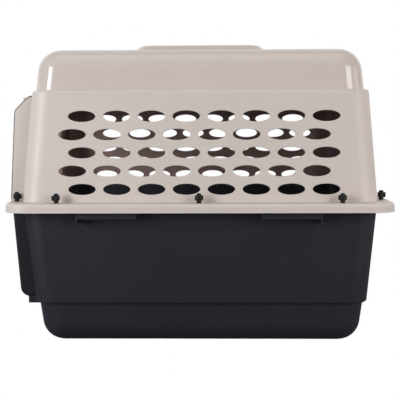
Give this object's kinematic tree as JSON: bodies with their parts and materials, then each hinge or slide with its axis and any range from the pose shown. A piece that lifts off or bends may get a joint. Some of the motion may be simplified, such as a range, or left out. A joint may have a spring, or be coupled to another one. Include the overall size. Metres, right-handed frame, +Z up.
{
  "type": "pet transport carrier",
  "caption": "Two-part moulded pet kennel with a vented top shell, a stepped tub, a wire door with a squeeze latch and thumb nuts round the rim.",
  "frame": {"origin": "centre of the footprint on the surface the kennel stands on", "axes": "+X towards the rear along the long side, -X the door end, +Z up"},
  "size_m": [0.711, 0.521, 0.5612],
  "materials": {
    "taupe_shell": "glossy moulded taupe plastic",
    "navy_shell": "satin moulded navy-black plastic",
    "nut_plastic": "satin black plastic",
    "bolt_steel": "zinc-plated steel",
    "door_wire": "bright plated steel wire",
    "latch_steel": "plated steel",
    "latch_plastic": "moulded black plastic",
    "tab_plastic": "moulded dark grey plastic",
    "spring_steel": "spring steel wire"
  },
  "bodies": {
    "bottom": {"bottom_shell": "navy_shell", "rim_bolts": "bolt_steel"},
    "top": {"top_shell": "taupe_shell"},
    "door": {"door_frame": "door_wire", "door_upright_wires": "door_wire", "door_cross_wires": "door_wire", "door_hinge_rod": "door_wire", "latch_housing": "latch_plastic", "latch_cover": "latch_plastic", "rod_guide_upper": "latch_steel", "rod_guide_lower": "latch_steel", "latch_spring_upper": "spring_steel", "latch_spring_lower": "spring_steel"},
    "latch_upper": {"latch_rod_upper": "latch_steel", "latch_tab_upper": "tab_plastic"},
    "latch_lower": {"latch_rod_lower": "latch_steel", "latch_tab_lower": "tab_plastic"},
    "nut_01": {"thumb_nut_01": "nut_plastic"},
    "nut_02": {"thumb_nut_02": "nut_plastic"},
    "nut_03": {"thumb_nut_03": "nut_plastic"},
    "nut_04": {"thumb_nut_04": "nut_plastic"},
    "nut_05": {"thumb_nut_05": "nut_plastic"},
    "nut_06": {"thumb_nut_06": "nut_plastic"},
    "nut_07": {"thumb_nut_07": "nut_plastic"},
    "nut_08": {"thumb_nut_08": "nut_plastic"},
    "nut_09": {"thumb_nut_09": "nut_plastic"},
    "nut_10": {"thumb_nut_10": "nut_plastic"}
  },
  "joints": [
    {"name": "top_lift", "type": "slide", "parent": "bottom", "child": "top", "axis": [0, 0, 1], "range_m": [0, 0.3]},
    {"name": "door_swing", "type": "hinge", "parent": "bottom", "child": "door", "pos_m": [-0.331, 0.1512, 0.271], "axis": [0, 0, -1], "range_deg": [0, 105]},
    {"name": "latch_upper_slide", "type": "slide", "parent": "door", "child": "latch_upper", "axis": [0, 0, 1], "range_m": [0, 0.012], "stiffness_N_per_m": 150, "springref_m": 0.016, "deforming": ["latch_spring_upper"]},
    {"name": "latch_lower_slide", "type": "slide", "parent": "door", "child": "latch_lower", "axis": [0, 0, -1], "range_m": [0, 0.012], "stiffness_N_per_m": 150, "springref_m": 0.016, "deforming": ["latch_spring_lower"]},
    {"name": "nut_01_turn", "type": "hinge", "parent": "top", "child": "nut_01", "pos_m": [-0.2562, -0.2455, 0.277], "axis": [0, 0, 1], "continuous": true},
    {"name": "nut_02_turn", "type": "hinge", "parent": "top", "child": "nut_02", "pos_m": [0, -0.2455, 0.277], "axis": [0, 0, 1], "continuous": true},
    {"name": "nut_03_turn", "type": "hinge", "parent": "top", "child": "nut_03", "pos_m": [0.2562, -0.2455, 0.277], "axis": [0, 0, 1], "continuous": true},
    {"name": "nut_04_turn", "type": "hinge", "parent": "top", "child": "nut_04", "pos_m": [-0.2562, 0.2455, 0.277], "axis": [0, 0, 1], "continuous": true},
    {"name": "nut_05_turn", "type": "hinge", "parent": "top", "child": "nut_05", "pos_m": [0, 0.2455, 0.277], "axis": [0, 0, 1], "continuous": true},
    {"name": "nut_06_turn", "type": "hinge", "parent": "top", "child": "nut_06", "pos_m": [0.2562, 0.2455, 0.277], "axis": [0, 0, 1], "continuous": true},
    {"name": "nut_07_turn", "type": "hinge", "parent": "top", "child": "nut_07", "pos_m": [-0.337, -0.205, 0.277], "axis": [0, 0, 1], "continuous": true},
    {"name": "nut_08_turn", "type": "hinge", "parent": "top", "child": "nut_08", "pos_m": [-0.337, 0.205, 0.277], "axis": [0, 0, 1], "continuous": true},
    {"name": "nut_09_turn", "type": "hinge", "parent": "top", "child": "nut_09", "pos_m": [0.338, -0.18, 0.277], "axis": [0, 0, 1], "continuous": true},
    {"name": "nut_10_turn", "type": "hinge", "parent": "top", "child": "nut_10", "pos_m": [0.338, 0.18, 0.277], "axis": [0, 0, 1], "continuous": true}
  ]
}
